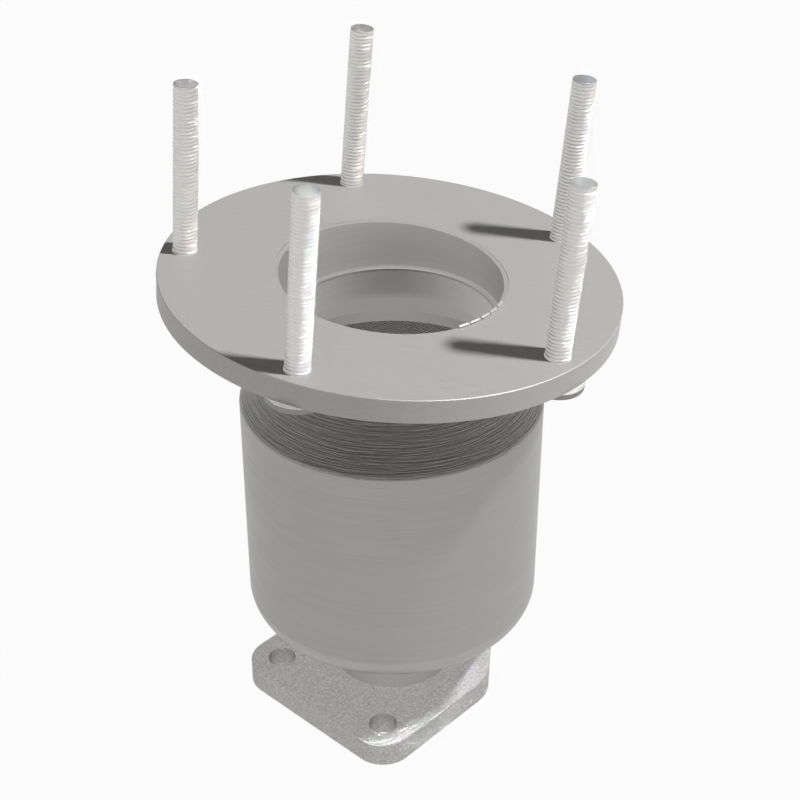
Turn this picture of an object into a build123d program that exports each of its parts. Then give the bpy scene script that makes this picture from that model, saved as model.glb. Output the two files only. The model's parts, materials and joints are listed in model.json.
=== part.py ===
from build123d import *
import math
import os

# Catalytic converter with a tilted round inlet plate, a sheet steel canister and
# a three-hole outlet flange. Millimetres, +Z up, origin on the canister's axis in
# the lower face of the outlet flange, X along its straight front edge, and its
# single third hole on +Y.

# Inlet plate and its five bolts
PLATE_RADIUS = 75.0
PLATE_THICKNESS = 8.0
PLATE_ABOVE_COLLAR = 16.4
PLATE_TILT_DEG = 4.4
PLATE_TILT_AZIMUTH_DEG = 36.8
PLATE_EDGE_BREAK = 0.2
BOLT_COUNT = 5
BOLT_RIM_DISTANCE = 7.65
BOLT_FIRST_AZIMUTH_DEG = 1.4
BOLT_RADIUS = 4.0
BOLT_STAND_OUT = 57.2
BOLT_TIP_CHAMFER = 0.6
BOLT_PRESSED_RADIUS = 4.2
BOLT_HEAD_RADIUS = 9.4
BOLT_HEAD_THICKNESS = 2.0
BOLT_HEAD_ROUND = 0.5

# Sheet and tube
SHEET = 2.0
SLIP_CLEARANCE = 0.3
ROUND_SHARE = 0.45
INLET_TUBE_RADIUS = 38.0
INLET_TUBE_WALL = 1.6
INLET_TUBE_PROUD = 0.6
INLET_SOCKET_WIDER = 0.4
INLET_TUBE_START = 0.913
OUTLET_TUBE_RADIUS = 22.4
OUTLET_TUBE_WALL = 2.0
OUTLET_TUBE_LAP = 4.0

# Catalyst and what holds it: the canister is built round the brick
BRICK_RADIUS = 46.5
BRICK_LENGTH = 74.0
BRICK_EDGE_BREAK = 0.5
MAT_THICKNESS = 2.75
SEAL_LENGTH = 3.0
SEAL_BRICK_SETBACK = 0.25
SEAL_SHELL_SETBACK = 0.4
RING_REACH_IN = 2.5
RING_REACH_OUT = 1.5
RING_HEIGHT = 4.9
RING_SHEET = 1.5

# Canister: collar lengths run from the corner of cone and collar
SHELL_SPARE_LENGTH = 1.0
BRICK_SET_UP = 4.35
INLET_KNUCKLE = 15.0
INLET_CONE_ANGLE_DEG = 55.0
INLET_COLLAR_LENGTH = 11.213
INLET_COLLAR_BEND = 4.0
OUTLET_KNUCKLE = 10.0
OUTLET_CONE_ANGLE_DEG = 57.0
OUTLET_COLLAR_LENGTH = 5.384
OUTLET_COLLAR_BEND = 4.0
OUTLET_NECK = 8.0

# Outlet flange: two holes along the front edge, one at the far end, all round the axis
FLANGE_THICKNESS = 9.0
FLANGE_HOLE_RADIUS = 5.0
FLANGE_HOLE_CIRCLE = 41.3
FLANGE_FRONT_HOLE_X = 25.7
FLANGE_HOLE_EDGE = 11.3
FLANGE_TAPER_DEG = 37.5
FLANGE_SHOULDER_RADIUS = 16.0
FLANGE_SEAT_DEPTH = 4.5
FLANGE_EDGE_BREAK = 0.2

# Length of plain cutting bodies, longer than anything that they pass through
CUT_REACH = 60.0

SHELL_RADIUS = BRICK_RADIUS + MAT_THICKNESS + SHEET


def knuckle_arc(centre_radius, radius, angle):
    """Middle and end of a knuckle's arc, which starts level with its centre."""
    middle = (centre_radius + radius * math.cos(0.5 * angle), radius * math.sin(0.5 * angle))
    end = (centre_radius + radius * math.cos(angle), radius * math.sin(angle))
    return middle, end


def cone_corner(start, angle, collar_radius):
    """Corner in which a cone from that start meets a collar of that radius."""
    return (collar_radius, start[1] + (start[0] - collar_radius) / math.tan(angle))


def end_height(knuckle, angle_deg, collar_outer, collar_length):
    """Height of a spun end, from the shell's edge to the collar's rim."""
    angle = math.radians(angle_deg)
    turn = knuckle_arc(SHELL_RADIUS - knuckle, knuckle, angle)[1]
    return cone_corner(turn, angle, collar_outer)[1] + collar_length


# Radii that follow from the sizes above
BOLT_CIRCLE_RADIUS = PLATE_RADIUS - BOLT_RIM_DISTANCE
SHELL_INNER_RADIUS = SHELL_RADIUS - SHEET
INLET_TUBE_BORE = INLET_TUBE_RADIUS - INLET_TUBE_WALL
INLET_SOCKET_RADIUS = INLET_TUBE_BORE + INLET_SOCKET_WIDER
INLET_COLLAR_RADIUS = INLET_SOCKET_RADIUS - SLIP_CLEARANCE
OUTLET_TUBE_BORE = OUTLET_TUBE_RADIUS - OUTLET_TUBE_WALL
OUTLET_COLLAR_RADIUS = OUTLET_TUBE_RADIUS + SHEET
RING_INNER_RADIUS = BRICK_RADIUS - RING_REACH_IN
RING_FOOT_RADIUS = BRICK_RADIUS + RING_REACH_OUT

# Heights that follow from the sizes above, from the flange up to the plate
FLANGE_SEAT_Z = FLANGE_THICKNESS - FLANGE_SEAT_DEPTH
OUTLET_COLLAR_LOWER_Z = FLANGE_THICKNESS + OUTLET_NECK
OUTLET_TUBE_UPPER_Z = OUTLET_COLLAR_LOWER_Z + OUTLET_TUBE_LAP
SHELL_LOWER_Z = OUTLET_COLLAR_LOWER_Z + end_height(
    OUTLET_KNUCKLE, OUTLET_CONE_ANGLE_DEG, OUTLET_COLLAR_RADIUS, OUTLET_COLLAR_LENGTH
)
SHELL_UPPER_Z = SHELL_LOWER_Z + BRICK_LENGTH + SHELL_SPARE_LENGTH
BRICK_LOWER_Z = SHELL_LOWER_Z + BRICK_SET_UP
BRICK_UPPER_Z = BRICK_LOWER_Z + BRICK_LENGTH
MAT_LOWER_Z = BRICK_LOWER_Z + SEAL_BRICK_SETBACK + SEAL_LENGTH
MAT_UPPER_Z = SHELL_UPPER_Z - SEAL_SHELL_SETBACK - SEAL_LENGTH
INLET_CORNER_Z = SHELL_UPPER_Z + end_height(
    INLET_KNUCKLE, INLET_CONE_ANGLE_DEG, INLET_COLLAR_RADIUS, 0
)
INLET_COLLAR_TOP_Z = INLET_CORNER_Z + INLET_COLLAR_LENGTH
INLET_TUBE_LOWER_Z = INLET_CORNER_Z + INLET_TUBE_START
PLATE_TOP_Z = INLET_COLLAR_TOP_Z + PLATE_ABOVE_COLLAR


def plate_plane():
    """Plane of the plate's upper face, with local X nearest to the part's X."""
    tilt = math.radians(PLATE_TILT_DEG)
    azimuth = math.radians(PLATE_TILT_AZIMUTH_DEG)
    normal = Vector(
        math.sin(tilt) * math.cos(azimuth),
        math.sin(tilt) * math.sin(azimuth),
        math.cos(tilt),
    )
    side = Vector(1, 0, 0) - normal * normal.X
    return Plane(origin=(0, 0, PLATE_TOP_Z), x_dir=side, z_dir=normal)


def ring(inner_radius, outer_radius, lower_z, upper_z):
    """Plain upright ring on the canister's axis."""
    section = Pos(0.5 * (inner_radius + outer_radius), 0.5 * (lower_z + upper_z)) * Rectangle(
        outer_radius - inner_radius, upper_z - lower_z
    )
    return revolve(Plane.XZ * section, Axis.Z)


def bolt_places():
    """Places of the bolts in the plate's upper face."""
    step = 360.0 / BOLT_COUNT
    return [
        plate_plane() * Rot(0, 0, BOLT_FIRST_AZIMUTH_DEG + step * index) * Pos(BOLT_CIRCLE_RADIUS, 0, 0)
        for index in range(BOLT_COUNT)
    ]


def mounting_plate():
    """Round plate, bored along the tube's axis and drilled for the bolts' pressed ends."""
    disc = Pos(0, 0, -0.5 * PLATE_THICKNESS) * Cylinder(PLATE_RADIUS, PLATE_THICKNESS)
    disc = chamfer(disc.edges(), PLATE_EDGE_BREAK)
    plate = plate_plane() * disc
    plate -= Pos(0, 0, PLATE_TOP_Z) * Cylinder(INLET_TUBE_RADIUS, CUT_REACH)
    hole = Cylinder(BOLT_PRESSED_RADIUS, CUT_REACH)
    for place in bolt_places():
        plate -= place * hole
    return plate


def bolt(place):
    """Fully threaded bolt with a thin round head, pressed into the plate from below."""
    shank = Pos(0, 0, 0.5 * BOLT_STAND_OUT) * Cylinder(BOLT_RADIUS, BOLT_STAND_OUT)
    shank = chamfer(shank.edges().group_by(Axis.Z)[-1], BOLT_TIP_CHAMFER)
    pressed = Pos(0, 0, -0.5 * PLATE_THICKNESS) * Cylinder(BOLT_PRESSED_RADIUS, PLATE_THICKNESS)
    head_middle = -PLATE_THICKNESS - 0.5 * BOLT_HEAD_THICKNESS
    head = Pos(0, 0, head_middle) * Cylinder(BOLT_HEAD_RADIUS, BOLT_HEAD_THICKNESS)
    head = fillet(head.edges().group_by(Axis.Z)[0], BOLT_HEAD_ROUND)
    return place * (shank + pressed + head)


def inlet_tube():
    """Tube through the plate, cut parallel to it and rounded above, with a socket for the cone below."""
    socket_upper_z = INLET_COLLAR_TOP_Z + SLIP_CLEARANCE
    tube = ring(INLET_TUBE_BORE, INLET_TUBE_RADIUS, INLET_TUBE_LOWER_Z, PLATE_TOP_Z + CUT_REACH)
    tube -= ring(0, INLET_SOCKET_RADIUS, INLET_TUBE_LOWER_Z, socket_upper_z)
    side = 4 * INLET_TUBE_RADIUS
    above = Pos(0, 0, INLET_TUBE_PROUD + CUT_REACH) * Box(side, side, 2 * CUT_REACH)
    tube -= plate_plane() * above
    rim = tube.faces().sort_by(Axis.Z)[-1].edges()
    return fillet(rim, ROUND_SHARE * INLET_TUBE_WALL)


def bend_arc(corner, angle, bend):
    """Bend between cone and collar: its end on the cone, its middle and its end on the collar."""
    reach = bend * math.tan(0.5 * angle)
    centre = (corner[0] + bend, corner[1] + reach)
    on_cone = (centre[0] - bend * math.cos(angle), centre[1] - bend * math.sin(angle))
    middle = (centre[0] - bend * math.cos(0.5 * angle), centre[1] - bend * math.sin(0.5 * angle))
    return on_cone, middle, (corner[0], centre[1])


def lip_arc(rim, size, side):
    """Round corner of a collar's rim, on its outer side (1) or its inner side (-1)."""
    centre = (rim[0] - side * size, rim[1] - size)
    middle = (centre[0] + side * size * math.sqrt(0.5), centre[1] + size * math.sqrt(0.5))
    return (rim[0], centre[1]), middle, (centre[0], rim[1])


def spun_end(knuckle, angle_deg, collar_outer, collar_end, bend):
    """Spun sheet end on the shell's edge at z = 0: knuckle, cone and collar of one sheet, revolved."""
    angle = math.radians(angle_deg)
    centre_radius = SHELL_RADIUS - knuckle
    collar_inner = collar_outer - SHEET
    outer_middle, outer_turn = knuckle_arc(centre_radius, knuckle, angle)
    inner_middle, inner_turn = knuckle_arc(centre_radius, knuckle - SHEET, angle)
    outer_bend = bend_arc(cone_corner(outer_turn, angle, collar_outer), angle, bend)
    inner_bend = bend_arc(cone_corner(inner_turn, angle, collar_inner), angle, bend + SHEET)
    outer_lip = lip_arc((collar_outer, collar_end), ROUND_SHARE * SHEET, 1)
    inner_lip = lip_arc((collar_inner, collar_end), ROUND_SHARE * SHEET, -1)
    with BuildSketch(Plane.XZ) as section:
        with BuildLine():
            ThreePointArc((SHELL_RADIUS, 0), outer_middle, outer_turn)
            Line(outer_turn, outer_bend[0])
            ThreePointArc(*outer_bend)
            Line(outer_bend[2], outer_lip[0])
            ThreePointArc(*outer_lip)
            Line(outer_lip[2], inner_lip[2])
            ThreePointArc(*reversed(inner_lip))
            Line(inner_lip[0], inner_bend[2])
            ThreePointArc(*reversed(inner_bend))
            Line(inner_bend[0], inner_turn)
            ThreePointArc(inner_turn, inner_middle, (SHELL_INNER_RADIUS, 0))
            Line((SHELL_INNER_RADIUS, 0), (SHELL_RADIUS, 0))
        make_face()
    return revolve(section.sketch, Axis.Z)


def inlet_cone():
    """Upper end of the canister, with a collar inside the inlet tube."""
    end = spun_end(
        INLET_KNUCKLE,
        INLET_CONE_ANGLE_DEG,
        INLET_COLLAR_RADIUS,
        INLET_COLLAR_TOP_Z - SHELL_UPPER_Z,
        INLET_COLLAR_BEND,
    )
    return Pos(0, 0, SHELL_UPPER_Z) * end


def outlet_cone():
    """Lower end of the canister, with a collar round the outlet tube."""
    end = spun_end(
        OUTLET_KNUCKLE,
        OUTLET_CONE_ANGLE_DEG,
        OUTLET_COLLAR_RADIUS,
        SHELL_LOWER_Z - OUTLET_COLLAR_LOWER_Z,
        OUTLET_COLLAR_BEND,
    )
    return Pos(0, 0, SHELL_LOWER_Z) * Rot(180, 0, 0) * end


def canister_shell():
    """Rolled sheet cylinder between the two spun ends."""
    return ring(SHELL_INNER_RADIUS, SHELL_RADIUS, SHELL_LOWER_Z, SHELL_UPPER_Z)


def outlet_tube():
    """Short tube seated in the flange."""
    return ring(OUTLET_TUBE_BORE, OUTLET_TUBE_RADIUS, FLANGE_SEAT_Z, OUTLET_TUBE_UPPER_Z)


def flange_holes():
    """Centres of the flange's holes: two in front and one at the far end."""
    front_y = -math.sqrt(FLANGE_HOLE_CIRCLE**2 - FLANGE_FRONT_HOLE_X**2)
    return [(-FLANGE_FRONT_HOLE_X, front_y), (FLANGE_FRONT_HOLE_X, front_y), (0, FLANGE_HOLE_CIRCLE)]


def flange_blank():
    """Outline of the flange: square front corners, straight sides, and a taper to a round end."""
    taper = math.radians(FLANGE_TAPER_DEG)
    half_width = FLANGE_FRONT_HOLE_X + FLANGE_HOLE_EDGE
    front_y = flange_holes()[0][1] - FLANGE_HOLE_EDGE
    apex_y = FLANGE_HOLE_CIRCLE + FLANGE_HOLE_EDGE / math.sin(taper)
    shoulder_y = apex_y - half_width / math.tan(taper)
    front = [(-half_width, front_y), (half_width, front_y)]
    shoulders = [(half_width, shoulder_y), (-half_width, shoulder_y)]
    apex = (0, apex_y)
    blank = Polygon(*front, shoulders[0], apex, shoulders[1], align=None)
    for corner in [*front, apex]:
        blank = fillet(blank.vertices().sort_by_distance((*corner, 0))[0], FLANGE_HOLE_EDGE)
    for corner in shoulders:
        blank = fillet(blank.vertices().sort_by_distance((*corner, 0))[0], FLANGE_SHOULDER_RADIUS)
    return blank


def outlet_flange():
    """Tapered flange with three holes, a bore and a seat for the tube."""
    body = extrude(flange_blank(), FLANGE_THICKNESS)
    body = chamfer(body.edges().group_by(Axis.Z)[0] + body.edges().group_by(Axis.Z)[-1], FLANGE_EDGE_BREAK)
    for x, y in flange_holes():
        body -= Pos(x, y, 0) * Cylinder(FLANGE_HOLE_RADIUS, CUT_REACH)
    body -= Cylinder(OUTLET_TUBE_BORE, CUT_REACH)
    body -= ring(0, OUTLET_TUBE_RADIUS, FLANGE_SEAT_Z, FLANGE_THICKNESS + 1)
    return body


def catalyst_brick():
    """Ceramic monolith with broken edges; its cells are too fine to be cut one by one."""
    brick = Cylinder(BRICK_RADIUS, BRICK_LENGTH)
    brick = chamfer(brick.edges().filter_by(GeomType.CIRCLE), BRICK_EDGE_BREAK)
    return Pos(0, 0, BRICK_LOWER_Z + 0.5 * BRICK_LENGTH) * brick


def support_mat():
    """Fibre mat between the brick and the shell."""
    return ring(BRICK_RADIUS, SHELL_INNER_RADIUS, MAT_LOWER_Z, MAT_UPPER_Z)


def mat_seal(lower_z):
    """Knitted wire ring that shields one edge of the mat."""
    return ring(BRICK_RADIUS, SHELL_INNER_RADIUS, lower_z, lower_z + SEAL_LENGTH)


def retaining_ring(face_z, direction):
    """Pressed ring of angle section: its foot on the brick's end face, its wall standing away."""
    wall_outer = RING_INNER_RADIUS + RING_SHEET
    foot = sorted((face_z, face_z + direction * RING_SHEET))
    wall = sorted((face_z, face_z + direction * RING_HEIGHT))
    return ring(RING_INNER_RADIUS, RING_FOOT_RADIUS, *foot) + ring(RING_INNER_RADIUS, wall_outer, *wall)


def build():
    """All pieces by node name."""
    pieces = {
        "mounting_plate": mounting_plate(),
        "inlet_tube": inlet_tube(),
        "inlet_cone": inlet_cone(),
        "canister_shell": canister_shell(),
        "outlet_cone": outlet_cone(),
        "outlet_tube": outlet_tube(),
        "outlet_flange": outlet_flange(),
        "catalyst_brick": catalyst_brick(),
        "support_mat": support_mat(),
        "upper_mat_seal": mat_seal(MAT_UPPER_Z),
        "lower_mat_seal": mat_seal(MAT_LOWER_Z - SEAL_LENGTH),
        "upper_retaining_ring": retaining_ring(BRICK_UPPER_Z, 1),
        "lower_retaining_ring": retaining_ring(BRICK_LOWER_Z, -1),
    }
    for index, place in enumerate(bolt_places(), start=1):
        pieces[f"plate_bolt_{index}"] = bolt(place)
    return pieces


if __name__ == "__main__":
    os.makedirs("parts", exist_ok=True)
    for name, shape in build().items():
        export_step(shape, f"parts/{name}.step")
        print(name, shape.is_valid, len(shape.solids()), round(shape.volume))
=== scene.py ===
import json
import logging
import math
from collections.abc import Callable
from dataclasses import dataclass
from enum import Enum

import bmesh
import bpy
from mathutils import Matrix, Vector


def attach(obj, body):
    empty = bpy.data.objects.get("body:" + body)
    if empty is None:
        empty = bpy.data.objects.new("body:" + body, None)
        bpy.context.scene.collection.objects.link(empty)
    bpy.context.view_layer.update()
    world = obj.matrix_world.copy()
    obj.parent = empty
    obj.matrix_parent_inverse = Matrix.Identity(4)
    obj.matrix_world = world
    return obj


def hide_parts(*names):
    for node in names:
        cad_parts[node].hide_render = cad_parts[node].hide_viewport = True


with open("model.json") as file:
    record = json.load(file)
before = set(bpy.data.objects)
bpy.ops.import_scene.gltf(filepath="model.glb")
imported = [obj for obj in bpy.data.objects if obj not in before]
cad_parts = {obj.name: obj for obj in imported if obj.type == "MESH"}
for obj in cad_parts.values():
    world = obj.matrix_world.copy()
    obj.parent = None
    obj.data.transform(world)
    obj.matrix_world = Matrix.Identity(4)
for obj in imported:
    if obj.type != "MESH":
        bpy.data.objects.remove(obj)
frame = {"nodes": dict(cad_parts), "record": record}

# Looks of a catalytic converter: the finish of every CAD piece, and the pieces with real
# detail that stand for CAD ones or are laid on them. Metres in the row frame, +Z up,
# origin on the canister's axis in the outlet flange's lower face.

LOG = logging.getLogger("converter")
MM = 0.001
MM_PER_M = 1000.0
BODY = "root"
WHITE = (1.0, 1.0, 1.0, 1.0)

# Distances within which vertices are merged, meet a plane, or lie level with each other, and
# the share of a direction that a face's normal has where the face looks that way.
MERGE = 0.002 * MM
NEAR = 0.01 * MM
LEVEL = 0.001 * MM
FACING = 0.9

# Asks of a face or vertex its place and normal, and of an edge its two ends.
Test = Callable[[Vector, Vector], bool]


# Places


@dataclass(frozen=True)
class PlatePlane:
    """Upper face of the inlet plate, which leans away from the canister's axis."""

    top_z: float = 166.0 * MM
    tilt_deg: float = 4.4
    azimuth_deg: float = 36.8

    def normal(self) -> Vector:
        """Returns the outward normal of the face."""
        tilt = math.radians(self.tilt_deg)
        azimuth = math.radians(self.azimuth_deg)
        flat = math.sin(tilt)
        return Vector((flat * math.cos(azimuth), flat * math.sin(azimuth), math.cos(tilt)))

    def matrix(self) -> Matrix:
        """Returns the place of the face: X nearest to the part's X, Z along the normal."""
        normal = self.normal()
        side = (Vector((1.0, 0.0, 0.0)) - normal * normal.x).normalized()
        turn = Matrix((side, normal.cross(side), normal)).transposed().to_4x4()
        return Matrix.Translation((0.0, 0.0, self.top_z)) @ turn

    def upright(self, below: float) -> Matrix:
        """Returns a matrix that lays an upright ring on a plane under the face.

        Args:
            below: distance of that plane from the face, along the normal.

        Returns:
            A shear along Z, so that a ring round the canister's axis stays round it.
        """
        normal = self.normal()
        lean = Matrix.Identity(4)
        lean[2][0] = -normal.x / normal.z
        lean[2][1] = -normal.y / normal.z
        return Matrix.Translation((0.0, 0.0, self.top_z - below / normal.z)) @ lean


# Modelling by hand


class Bench:
    """Selecting, editing and finishing, as done by hand on the modelling bench."""

    @staticmethod
    def clear() -> None:
        """Leaves edit mode and deselects everything."""
        if bpy.context.object is not None and bpy.context.object.mode != "OBJECT":
            bpy.ops.object.mode_set(mode="OBJECT")
        bpy.ops.object.select_all(action="DESELECT")

    @staticmethod
    def take(piece: bpy.types.Object) -> None:
        """Selects one piece alone and makes it active.

        Args:
            piece: the object to work on.
        """
        Bench.clear()
        bpy.context.view_layer.objects.active = piece
        piece.select_set(True)

    @staticmethod
    def edit(piece: bpy.types.Object) -> None:
        """Opens a piece for editing with nothing selected.

        Args:
            piece: the object to edit.
        """
        Bench.take(piece)
        bpy.ops.object.mode_set(mode="EDIT")
        bpy.ops.mesh.select_mode(type="VERT")
        bpy.ops.mesh.select_all(action="DESELECT")

    @staticmethod
    def done() -> None:
        """Closes edit mode."""
        bpy.ops.object.mode_set(mode="OBJECT")

    @staticmethod
    def pick(piece: bpy.types.Object, kind: str, test: Test) -> None:
        """Selects the faces, edges or vertices that pass a test, and nothing else.

        Args:
            piece: the object in edit mode.
            kind: FACE, EDGE or VERT.
            test: a function of the element's place and normal, or of an edge's two ends.
        """
        bpy.ops.mesh.select_mode(type=kind)
        work = bmesh.from_edit_mesh(piece.data)
        for group in (work.faces, work.edges, work.verts):
            for element in group:
                element.select_set(False)
        if kind == "FACE":
            chosen = [f for f in work.faces if test(f.calc_center_median(), f.normal)]
        elif kind == "EDGE":
            chosen = [e for e in work.edges if test(e.verts[0].co, e.verts[1].co)]
        else:
            chosen = [v for v in work.verts if test(v.co, v.normal)]
        for element in chosen:
            element.select_set(True)
        work.select_flush_mode()
        bmesh.update_edit_mesh(piece.data)

    @staticmethod
    def modify(piece: bpy.types.Object, kind: str, **settings: object) -> None:
        """Adds a modifier with its settings and applies it.

        Args:
            piece: the object to finish.
            kind: Blender's name of the modifier.
            **settings: attributes of the modifier.
        """
        Bench.take(piece)
        modifier = piece.modifiers.new(kind.title(), kind)
        for name, value in settings.items():
            setattr(modifier, name, value)
        bpy.ops.object.modifier_apply(modifier=modifier.name)

    @staticmethod
    def clean(piece: bpy.types.Object) -> None:
        """Merges doubled vertices and turns all faces outwards.

        Args:
            piece: the object to clean.
        """
        Bench.edit(piece)
        bpy.ops.mesh.select_all(action="SELECT")
        bpy.ops.mesh.remove_doubles(threshold=MERGE)
        bpy.ops.mesh.normals_make_consistent(inside=False)
        Bench.done()

    @staticmethod
    def place(piece: bpy.types.Object, matrix: Matrix) -> None:
        """Puts a piece in its place and applies that place to its mesh.

        Args:
            piece: the object to place.
            matrix: its place in the row frame.
        """
        Bench.take(piece)
        piece.matrix_world = matrix
        bpy.context.view_layer.update()
        bpy.ops.object.transform_apply(location=True, rotation=True, scale=True)

    @staticmethod
    def smooth(piece: bpy.types.Object, angle_deg: float) -> None:
        """Shades a piece smooth up to an angle between faces.

        Args:
            piece: the object to shade.
            angle_deg: edges sharper than this stay sharp.
        """
        Bench.take(piece)
        bpy.ops.object.shade_smooth_by_angle(angle=math.radians(angle_deg))

    @staticmethod
    def copy(piece: bpy.types.Object, name: str) -> bpy.types.Object:
        """Copies a piece with a mesh of its own.

        Args:
            piece: the object to copy.
            name: the copy's name.

        Returns:
            The copy.
        """
        Bench.take(piece)
        bpy.ops.object.duplicate(linked=False)
        made = bpy.context.object
        made.name = name
        made.data.name = name
        return made


# Finishes


def linear(colour: str, share: float = 1.0) -> tuple[float, float, float, float]:
    """Turns an sRGB hex colour to linear.

    Args:
        colour: a colour as #rrggbb.
        share: a factor on the linear values.

    Returns:
        Red, green, blue and alpha.
    """
    values = []
    for start in (1, 3, 5):
        byte = int(colour[start:start + 2], 16) / 255
        value = byte / 12.92 if byte <= 0.04045 else ((byte + 0.055) / 1.055) ** 2.4
        values.append(value * share)
    return (values[0], values[1], values[2], 1.0)


def add_node(tree: bpy.types.NodeTree, kind: str, settings: dict[str, object],
             inputs: dict[int | str, object]) -> bpy.types.Node:
    """Adds a node with its settings and its inputs.

    Args:
        tree: the tree to add to.
        kind: the node's type.
        settings: attributes of the node.
        inputs: values or output sockets by the input's name or number.

    Returns:
        The node.
    """
    node = tree.nodes.new(kind)
    for name, value in settings.items():
        setattr(node, name, value)
    for key, value in inputs.items():
        if isinstance(value, bpy.types.NodeSocket):
            tree.links.new(value, node.inputs[key])
        else:
            node.inputs[key].default_value = value
    return node


class Grain(Enum):
    """Which way the marks of a finish run."""

    ROUND = "round the canister's axis"
    STRAIGHT = "along one direction"
    EVEN = "the same in every direction"


@dataclass(frozen=True)
class Finish:
    """A finish: colour, gloss and the marks that its making left on the surface."""

    name: str
    colour: str
    grain: Grain
    metallic: float
    roughness: float
    length_mm: float
    width_mm: float
    depth_mm: float
    colour_swing: float = 0.04
    roughness_swing: float = 0.04
    radius_mm: float = 51.25
    direction_deg: float = 43.0
    noise_detail: float = 3.0
    noise_roughness: float = 0.6
    low_height: float = 0.3
    high_height: float = 0.7

    def round_spot(self, tree: bpy.types.NodeTree, place: bpy.types.NodeSocket) -> bpy.types.NodeSocket:
        """Adds coordinates of marks that run round the canister's axis.

        Args:
            tree: the material's tree.
            place: the place on the piece.

        Returns:
            The coordinates, in marks: round the axis, and up the sheet's section.
        """
        part = add_node(tree, "ShaderNodeSeparateXYZ", {}, {0: place})
        flat = add_node(tree, "ShaderNodeCombineXYZ", {}, {0: part.outputs[0], 1: part.outputs[1]})
        unit = add_node(tree, "ShaderNodeVectorMath", {"operation": "NORMALIZE"}, {0: flat.outputs[0]})
        around = add_node(tree, "ShaderNodeVectorMath", {"operation": "SCALE"},
                          {0: unit.outputs[0], "Scale": self.radius_mm / self.length_mm})
        reach = add_node(tree, "ShaderNodeVectorMath", {"operation": "LENGTH"}, {0: flat.outputs[0]})
        along = add_node(tree, "ShaderNodeMath", {"operation": "SUBTRACT"},
                         {0: part.outputs[2], 1: reach.outputs["Value"]})
        line = add_node(tree, "ShaderNodeMath", {"operation": "MULTIPLY"},
                        {0: along.outputs[0], 1: MM_PER_M / self.width_mm})
        rise = add_node(tree, "ShaderNodeCombineXYZ", {}, {2: line.outputs[0]})
        spot = add_node(tree, "ShaderNodeVectorMath", {"operation": "ADD"},
                        {0: around.outputs[0], 1: rise.outputs[0]})
        return spot.outputs[0]

    def straight_spot(self, tree: bpy.types.NodeTree,
                      place: bpy.types.NodeSocket) -> bpy.types.NodeSocket:
        """Adds coordinates of marks that run in one direction, seen from above.

        Args:
            tree: the material's tree.
            place: the place on the piece.

        Returns:
            The coordinates, in marks: along them, and twice across them.
        """
        along = MM_PER_M / self.length_mm
        across = MM_PER_M / self.width_mm
        turn = (0.0, 0.0, -math.radians(self.direction_deg))
        turned = add_node(tree, "ShaderNodeMapping", {"vector_type": "POINT"},
                          {0: place, "Rotation": turn})
        spot = add_node(tree, "ShaderNodeVectorMath", {"operation": "MULTIPLY"},
                        {0: turned.outputs[0], 1: (along, across, across)})
        return spot.outputs[0]

    def marks(self, tree: bpy.types.NodeTree) -> bpy.types.NodeSocket:
        """Adds the noise that draws the marks.

        Args:
            tree: the material's tree.

        Returns:
            The height of the marks, 0 to 1.
        """
        place = add_node(tree, "ShaderNodeTexCoord", {}, {}).outputs["Object"]
        if self.grain is Grain.ROUND:
            spot = self.round_spot(tree, place)
        else:
            spot = self.straight_spot(tree, place)
        noise = add_node(tree, "ShaderNodeTexNoise", {"noise_dimensions": "3D"}, {
            "Vector": spot,
            "Scale": 1.0,
            "Detail": self.noise_detail,
            "Roughness": self.noise_roughness,
        })
        return noise.outputs["Fac"]

    def material(self) -> bpy.types.Material:
        """Builds the node material of this finish.

        Returns:
            The material.
        """
        made = bpy.data.materials.new(self.name)
        made.use_nodes = True
        tree = made.node_tree
        tree.nodes.clear()
        height = self.marks(tree)
        mix = add_node(tree, "ShaderNodeMix", {"data_type": "RGBA"}, {
            "Factor": height,
            6: linear(self.colour, 1.0 - self.colour_swing),
            7: linear(self.colour, 1.0 + self.colour_swing),
        })
        rough = add_node(tree, "ShaderNodeMapRange", {}, {
            "Value": height,
            "From Min": self.low_height,
            "From Max": self.high_height,
            "To Min": self.roughness + self.roughness_swing,
            "To Max": self.roughness - self.roughness_swing,
        })
        bump = add_node(tree, "ShaderNodeBump", {}, {
            "Strength": 1.0,
            "Distance": self.depth_mm * MM,
            "Height": height,
        })
        shader = add_node(tree, "ShaderNodeBsdfPrincipled", {}, {
            "Base Color": mix.outputs[2],
            "Roughness": rough.outputs[0],
            "Metallic": self.metallic,
            "Normal": bump.outputs[0],
        })
        add_node(tree, "ShaderNodeOutputMaterial", {}, {"Surface": shader.outputs[0]})
        return made


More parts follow.
